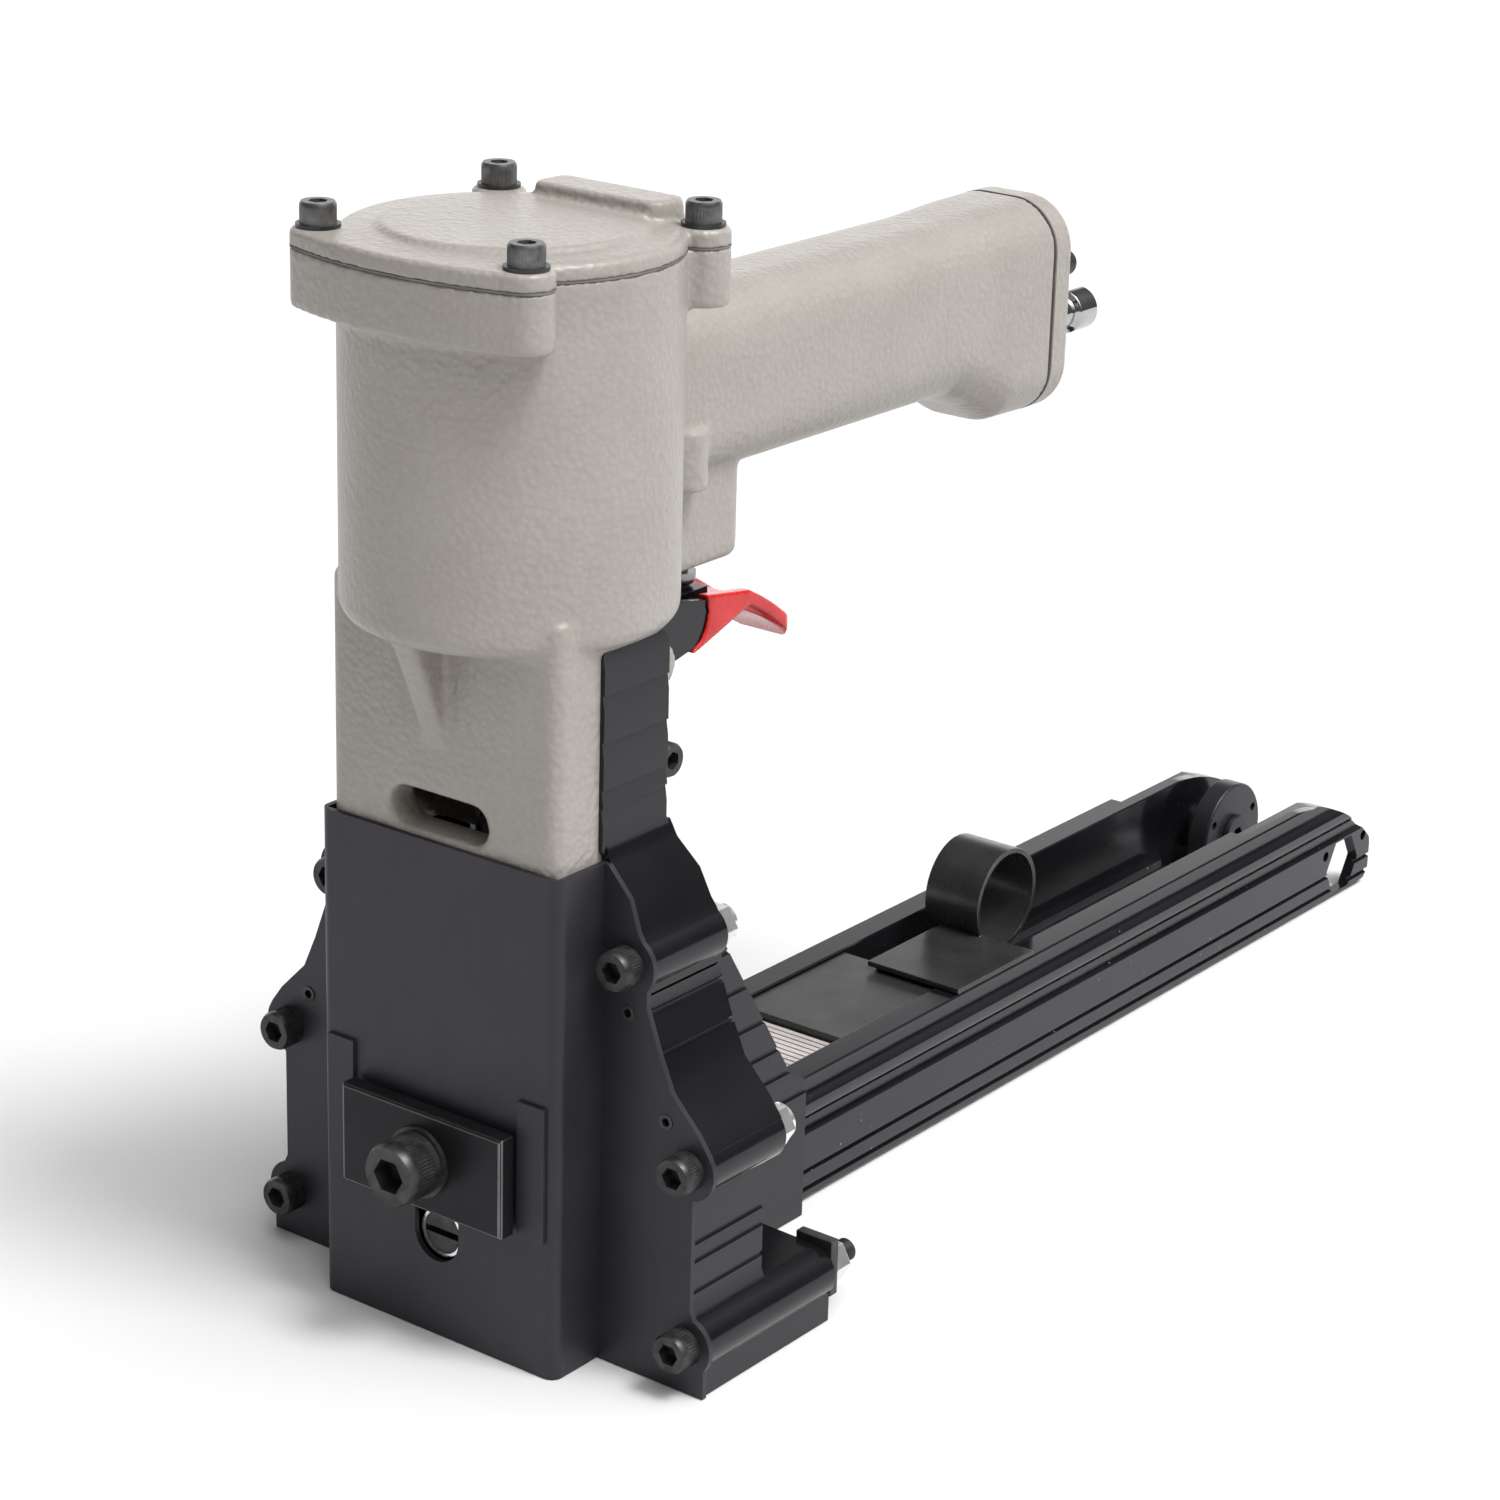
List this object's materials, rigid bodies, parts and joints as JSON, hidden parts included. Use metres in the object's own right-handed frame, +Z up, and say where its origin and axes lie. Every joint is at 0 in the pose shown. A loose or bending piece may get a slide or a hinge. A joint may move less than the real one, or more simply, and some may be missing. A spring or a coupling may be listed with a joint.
{
  "type": "pneumatic carton stapler",
  "caption": "Pneumatic carton stapler: grey cylinder with a pistol-style handle and red trigger, black front cover and side frames, and a long staple magazine with a ring pusher.",
  "frame": {"origin": "the point where the staple leaves the nose, on the base plane, under the cylinder's axis", "axes": "+X to the user's right, +Y back along the magazine, +Z up along the cylinder"},
  "size_m": [0.1436, 0.4377, 0.2776],
  "materials": {
    "casting_paint": "warm grey hammertone paint",
    "gasket": "matt",
    "black_screw": "black oxide",
    "bright_nut": "bright plated",
    "air_fitting": "bright plated",
    "liner": "hard anodised",
    "seal": "matt",
    "bush": "turned",
    "bumper": "matt",
    "piston": "turned",
    "tool_steel": "hardened",
    "head_valve": "moulded",
    "spring_steel": "spring temper",
    "trigger_steel": "black",
    "trigger_dip": "glossy dipped coat",
    "cover_paint": "satin black",
    "frame_anodised": "black anodised",
    "rail_anodised": "black anodised",
    "staple_wire": "drawn wire",
    "pusher_sheet": "blackened sheet",
    "drum": "satin"
  },
  "bodies": {
    "tool_body": {"acorn_nuts": "bright_nut", "air_plug": "air_fitting", "backing_plates": "black_screw", "body_casting": "casting_paint", "cap_gasket": "gasket", "cap_screws": "black_screw", "cap_washers": "black_screw", "clincher_pivot_pins": "tool_steel", "cylinder_cap": "casting_paint", "cylinder_liner": "liner", "depth_stop_screw": "black_screw", "drum_axle": "tool_steel", "end_cap_gasket": "gasket", "end_cap_screws": "black_screw", "frame_screws": "black_screw", "front_cover": "cover_paint", "front_guide": "tool_steel", "handle_end_cap": "casting_paint", "head_valve_spring": "spring_steel", "left_magazine_rail": "rail_anodised", "left_side_frame": "frame_anodised", "liner_seals": "seal", "nose_clamp_screws": "black_screw", "piston_bumper": "bumper", "pusher_ribbon": "spring_steel", "rear_guide": "tool_steel", "ribbon_guide_pin": "tool_steel", "right_magazine_rail": "rail_anodised", "right_side_frame": "frame_anodised", "rod_bush": "bush", "rod_seal": "seal", "set_screws": "black_screw", "staple_strip": "staple_wire", "stop_collar": "bright_nut", "stud_nuts": "bright_nut", "trigger_pivot_pin": "tool_steel", "trigger_valve_bush": "bush", "trigger_valve_seals": "seal", "trigger_valve_spring": "spring_steel"},
    "driver": {"drive_piston": "piston", "piston_seal": "seal", "driver_blade": "tool_steel", "drive_yoke": "tool_steel", "yoke_screws": "tool_steel"},
    "right_claw": {"right_clincher": "tool_steel", "right_clincher_pin": "tool_steel"},
    "left_claw": {"left_clincher": "tool_steel", "left_clincher_pin": "tool_steel"},
    "head_valve_poppet": {"head_valve": "head_valve"},
    "trigger": {"trigger_lever": "trigger_steel", "trigger_grip": "trigger_dip"},
    "valve_stem": {"trigger_valve_stem": "tool_steel"},
    "pusher": {"pusher_shoe": "pusher_sheet", "pusher_plate": "pusher_sheet"},
    "drum": {"spring_drum": "drum"},
    "adjuster": {"depth_adjuster": "cover_paint", "adjuster_washer": "black_screw", "adjuster_screw": "black_screw", "adjuster_nut": "tool_steel"}
  },
  "joints": [
    {"name": "drive_stroke", "type": "slide", "parent": "tool_body", "child": "driver", "axis": [0, 0, -1], "range_m": [0, 0.038], "stiffness_N_per_m": 300, "springref_m": -0.06},
    {"name": "right_claw_swing", "type": "hinge", "parent": "tool_body", "child": "right_claw", "pos_m": [0.023, 0, 0.026], "axis": [0, 1, 0], "range_deg": [0, 80]},
    {"name": "left_claw_swing", "type": "hinge", "parent": "tool_body", "child": "left_claw", "pos_m": [-0.023, 0, 0.026], "axis": [0, -1, 0], "range_deg": [0, 80]},
    {"name": "head_valve_lift", "type": "slide", "parent": "tool_body", "child": "head_valve_poppet", "axis": [0, 0, 1], "range_m": [0, 0.003], "stiffness_N_per_m": 400, "springref_m": -0.01, "deforming": ["head_valve_spring"]},
    {"name": "trigger_pull", "type": "hinge", "parent": "tool_body", "child": "trigger", "pos_m": [0, 0.038, 0.16], "axis": [1, 0, 0], "range_deg": [0, 6], "stiffness_Nm_per_rad": 2, "springref_deg": -5.73},
    {"name": "valve_stem_lift", "type": "slide", "parent": "tool_body", "child": "valve_stem", "axis": [0, 0, 1], "range_m": [0, 0.003], "stiffness_N_per_m": 0.1, "springref_m": 0.4704, "deforming": ["trigger_valve_spring"]},
    {"name": "pusher_slide", "type": "slide", "parent": "tool_body", "child": "pusher", "axis": [0, 1, 0], "range_m": [0, 0.125], "stiffness_N_per_m": 20, "springref_m": -0.5, "deforming": ["pusher_ribbon"]},
    {"name": "drum_turn", "type": "hinge", "parent": "tool_body", "child": "drum", "pos_m": [-0.0089, 0.3605, 0.0176], "axis": [-1, 0, 0], "range_deg": [0, 426]},
    {"name": "adjuster_slide", "type": "slide", "parent": "tool_body", "child": "adjuster", "axis": [0, 0, 1], "range_m": [-0.006, 0.006]}
  ],
  "couplings": [
    {"joint": "right_claw_swing", "follows": "drive_stroke", "rad_per_m": 36.74},
    {"joint": "left_claw_swing", "follows": "drive_stroke", "rad_per_m": 36.74},
    {"joint": "valve_stem_lift", "follows": "trigger_pull", "m_per_rad": 0.028},
    {"joint": "drum_turn", "follows": "pusher_slide", "rad_per_m": 59.35}
  ]
}
